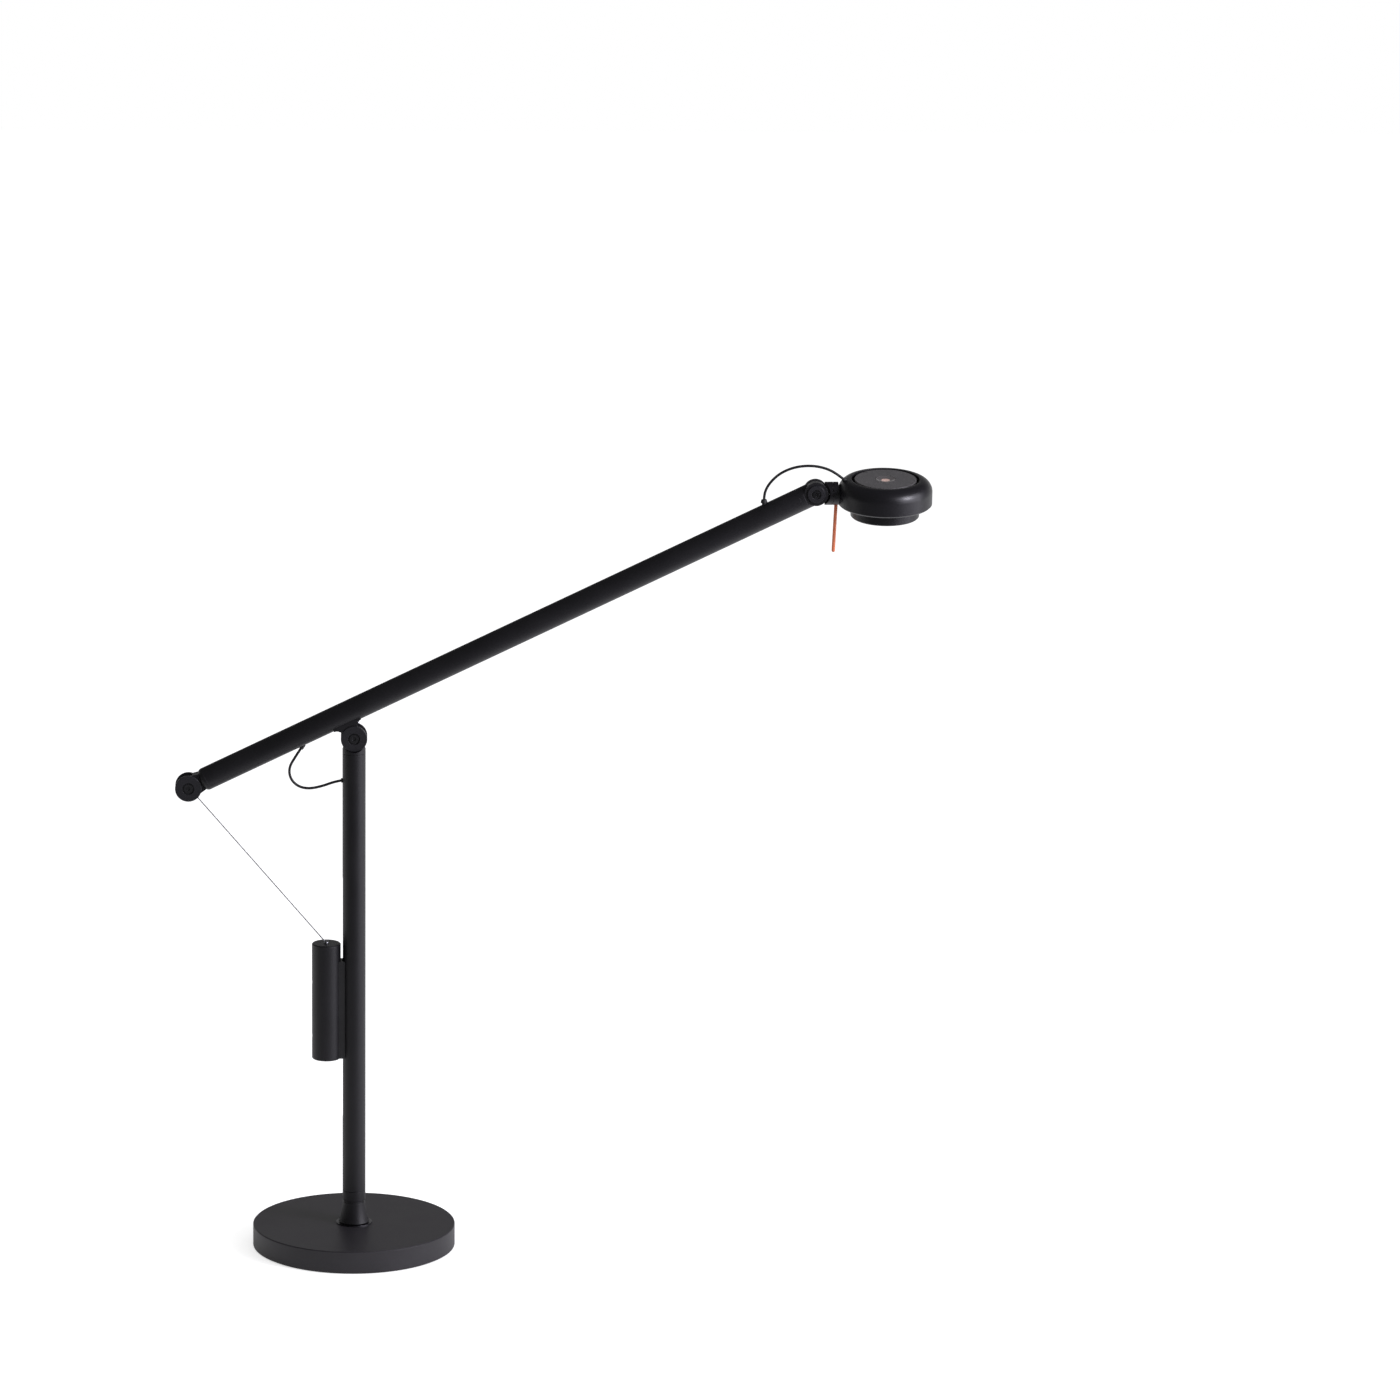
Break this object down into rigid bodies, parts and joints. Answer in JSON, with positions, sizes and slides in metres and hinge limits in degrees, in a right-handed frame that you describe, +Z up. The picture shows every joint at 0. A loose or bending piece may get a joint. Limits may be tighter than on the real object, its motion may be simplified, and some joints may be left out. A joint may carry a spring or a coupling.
{
  "type": "desk lamp",
  "caption": "Counterweight balance desk lamp: round base, slotted post, long tilting arm with a wire-hung weight sliding on the post, and a round flat head on a turning neck.",
  "frame": {"origin": "centre of the flat underside of the base", "axes": "+Z up along the post, +X the way the arm points, +Y to the back"},
  "size_m": [0.6491, 0.1785, 0.6962],
  "materials": {
    "base_coat": "matte",
    "post_coat": "matte",
    "arm_coat": "matte",
    "knuckle_coat": "matte",
    "weight_coat": "matte",
    "head_coat": "matte",
    "plate_coat": "satin",
    "collar_metal": "satin",
    "ballast_iron": "matte",
    "zinc_steel": "satin",
    "black_steel": "satin",
    "wire_steel": "satin",
    "pad_rubber": "matte",
    "bearing_plastic": "matte",
    "grommet_rubber": "matte",
    "cable_jacket": "matte",
    "handle_orange": "gloss",
    "sink_aluminium": "matte",
    "board_white": "matte",
    "reflector_white": "gloss",
    "diffuser_opal": "satin",
    "switch_plastic": "matte",
    "button_plastic": "gloss",
    "button_copper": "polished"
  },
  "bodies": {
    "base": {"base_cover": "base_coat", "base_ballast": "ballast_iron", "base_pad": "pad_rubber", "cord_gland": "pad_rubber", "collar_ring": "collar_metal", "base_collar": "post_coat", "swivel_spindle": "zinc_steel", "spindle_nut": "zinc_steel", "swivel_washer": "bearing_plastic", "spindle_clip": "zinc_steel"},
    "post": {"foot_ring": "post_coat", "swivel_bush": "bearing_plastic", "post_tube": "post_coat", "post_top_fork": "post_coat", "tilt_pin": "zinc_steel", "tilt_discs": "knuckle_coat", "tilt_screws": "black_steel", "tilt_washers": "bearing_plastic", "post_grommet": "grommet_rubber", "post_cable": "cable_jacket", "lower_cable_loop": "cable_jacket"},
    "arm": {"arm_tube": "arm_coat", "arm_saddle": "arm_coat", "saddle_screws": "zinc_steel", "arm_rear_fork": "arm_coat", "rear_pin": "zinc_steel", "rear_discs": "knuckle_coat", "rear_screws": "black_steel", "arm_head_fork": "arm_coat", "head_pivot_pin": "zinc_steel", "head_caps": "knuckle_coat", "head_screws": "black_steel", "lower_grommet": "grommet_rubber", "upper_grommet": "grommet_rubber", "arm_cable": "cable_jacket", "upper_cable_loop": "cable_jacket"},
    "wire_swivel": {"wire_drum": "zinc_steel", "balance_wire": "wire_steel"},
    "weight": {"counterweight": "weight_coat", "wire_stop": "wire_steel", "guide_shoe": "bearing_plastic", "slide_key": "bearing_plastic", "carriage_screws": "zinc_steel"},
    "neck": {"neck_yoke": "head_coat", "head_washers": "bearing_plastic", "roll_stud": "zinc_steel"},
    "head": {"neck_sleeve": "head_coat", "aiming_handle": "handle_orange", "head_housing": "head_coat", "top_plate": "plate_coat", "head_grommet": "grommet_rubber", "heat_sink": "sink_aluminium", "housing_screws": "zinc_steel", "led_board": "board_white", "reflector": "reflector_white", "diffuser": "diffuser_opal", "lens_ring": "head_coat", "dimmer_switch": "switch_plastic"},
    "button": {"dimmer_button": "button_plastic", "button_inlay": "button_copper"}
  },
  "joints": [
    {"name": "post_swivel", "type": "hinge", "parent": "base", "child": "post", "pos_m": [0, 0, 0.04], "axis": [0, 0, 1], "range_deg": [-170, 170]},
    {"name": "arm_tilt", "type": "hinge", "parent": "post", "child": "arm", "pos_m": [0, 0, 0.456], "axis": [0, -1, 0], "range_deg": [-25.8, 19.2], "deforming": ["balance_wire", "lower_cable_loop"]},
    {"name": "weight_slide", "type": "slide", "parent": "post", "child": "weight", "axis": [0, 0, 1], "range_m": [-0.058, 0.078]},
    {"name": "wire_swing", "type": "hinge", "parent": "arm", "child": "wire_swivel", "pos_m": [-0.14255, 0, 0.41197], "axis": [0, -1, 0], "range_deg": [-24, 33]},
    {"name": "head_tilt", "type": "hinge", "parent": "arm", "child": "neck", "pos_m": [0.39512, 0, 0.67189], "axis": [0, -1, 0], "range_deg": [-38, 60], "deforming": ["upper_cable_loop"]},
    {"name": "head_roll", "type": "hinge", "parent": "neck", "child": "head", "pos_m": [0.39512, 0, 0.67109], "axis": [1, 0, 0], "range_deg": [-90, 90]},
    {"name": "button_press", "type": "slide", "parent": "head", "child": "button", "axis": [0, 0.1045, -0.9945], "range_m": [0, 0.0008], "stiffness_N_per_m": 1500, "springref_m": -0.0005}
  ],
  "couplings": [
    {"joint": "weight_slide", "follows": "arm_tilt", "m_per_rad": -0.1696},
    {"joint": "wire_swing", "follows": "arm_tilt", "ratio": -1.24}
  ]
}
